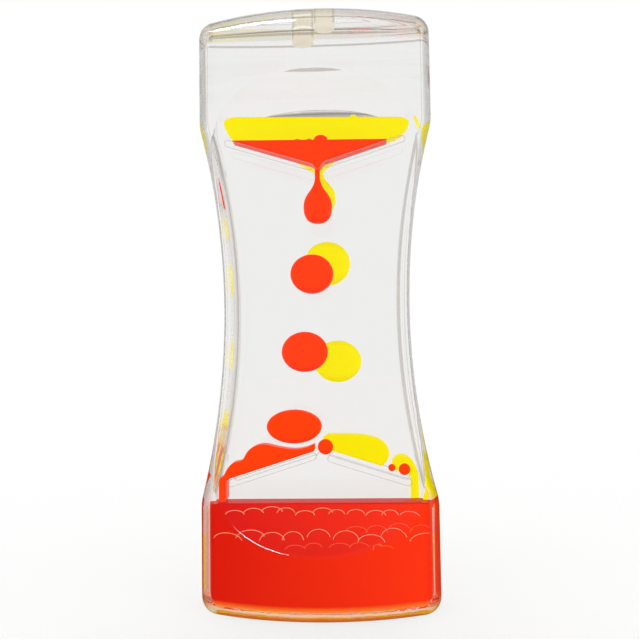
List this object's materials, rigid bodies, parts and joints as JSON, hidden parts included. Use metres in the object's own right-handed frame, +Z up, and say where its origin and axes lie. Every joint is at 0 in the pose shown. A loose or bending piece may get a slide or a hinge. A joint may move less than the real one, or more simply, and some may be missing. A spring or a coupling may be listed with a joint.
{
  "type": "liquid motion timer",
  "caption": "Clear waisted desk timer with two chambers, one behind the other, in which red and yellow drops fall through oil between sloping ramps",
  "frame": {"origin": "middle of the base, on the surface that the timer stands on", "axes": "+Z up along the timer's height, the front window faces -Y, +X to the right seen from the front"},
  "size_m": [0.055, 0.032, 0.14],
  "materials": {
    "clear_shell": "clear polished acrylic",
    "clear_plate": "clear polished acrylic sheet",
    "plug": "soft cream plastic",
    "oil": "clear mineral oil",
    "red_liquid": "dyed water, red",
    "yellow_liquid": "dyed water, yellow"
  },
  "bodies": {
    "timer": {"front_shell": "clear_shell", "back_shell": "clear_shell", "divider_plate": "clear_plate", "upper_front_left_ramp": "clear_plate", "upper_front_right_ramp": "clear_plate", "upper_back_left_ramp": "clear_plate", "upper_back_right_ramp": "clear_plate", "lower_front_left_ramp": "clear_plate", "lower_front_right_ramp": "clear_plate", "lower_back_left_ramp": "clear_plate", "lower_back_right_ramp": "clear_plate", "front_fill_plug": "plug", "back_fill_plug": "plug", "carrier_oil_front": "oil", "carrier_oil_back": "oil", "upper_red_pool": "red_liquid", "hanging_red_drop": "red_liquid", "red_resting_drop": "red_liquid", "red_mound": "red_liquid", "red_beads": "red_liquid", "lower_red_pool": "red_liquid", "upper_yellow_pool": "yellow_liquid", "hanging_yellow_drop": "yellow_liquid", "yellow_mound": "yellow_liquid", "yellow_run": "yellow_liquid", "yellow_beads": "yellow_liquid", "lower_yellow_pool": "yellow_liquid"},
    "red_drop_high": {"red_drop_high": "red_liquid"},
    "red_drop_low": {"red_drop_low": "red_liquid"},
    "yellow_drop_high": {"yellow_drop_high": "yellow_liquid"},
    "yellow_drop_low": {"yellow_drop_low": "yellow_liquid"}
  },
  "joints": [
    {"name": "red_drop_high_fall", "type": "slide", "parent": "timer", "child": "red_drop_high", "axis": [0, 0, 1], "range_m": [-0.0075, 0.007], "deforming": ["carrier_oil_front"]},
    {"name": "red_drop_low_fall", "type": "slide", "parent": "timer", "child": "red_drop_low", "axis": [0, 0, 1], "range_m": [-0.0075, 0.007], "deforming": ["carrier_oil_front"]},
    {"name": "yellow_drop_high_fall", "type": "slide", "parent": "timer", "child": "yellow_drop_high", "axis": [0, 0, 1], "range_m": [-0.011, 0.006], "deforming": ["carrier_oil_back"]},
    {"name": "yellow_drop_low_fall", "type": "slide", "parent": "timer", "child": "yellow_drop_low", "axis": [0, 0, 1], "range_m": [-0.011, 0.006], "deforming": ["carrier_oil_back"]}
  ],
  "couplings": [
    {"joint": "red_drop_low_fall", "follows": "red_drop_high_fall", "ratio": 1},
    {"joint": "yellow_drop_low_fall", "follows": "yellow_drop_high_fall", "ratio": 1}
  ]
}
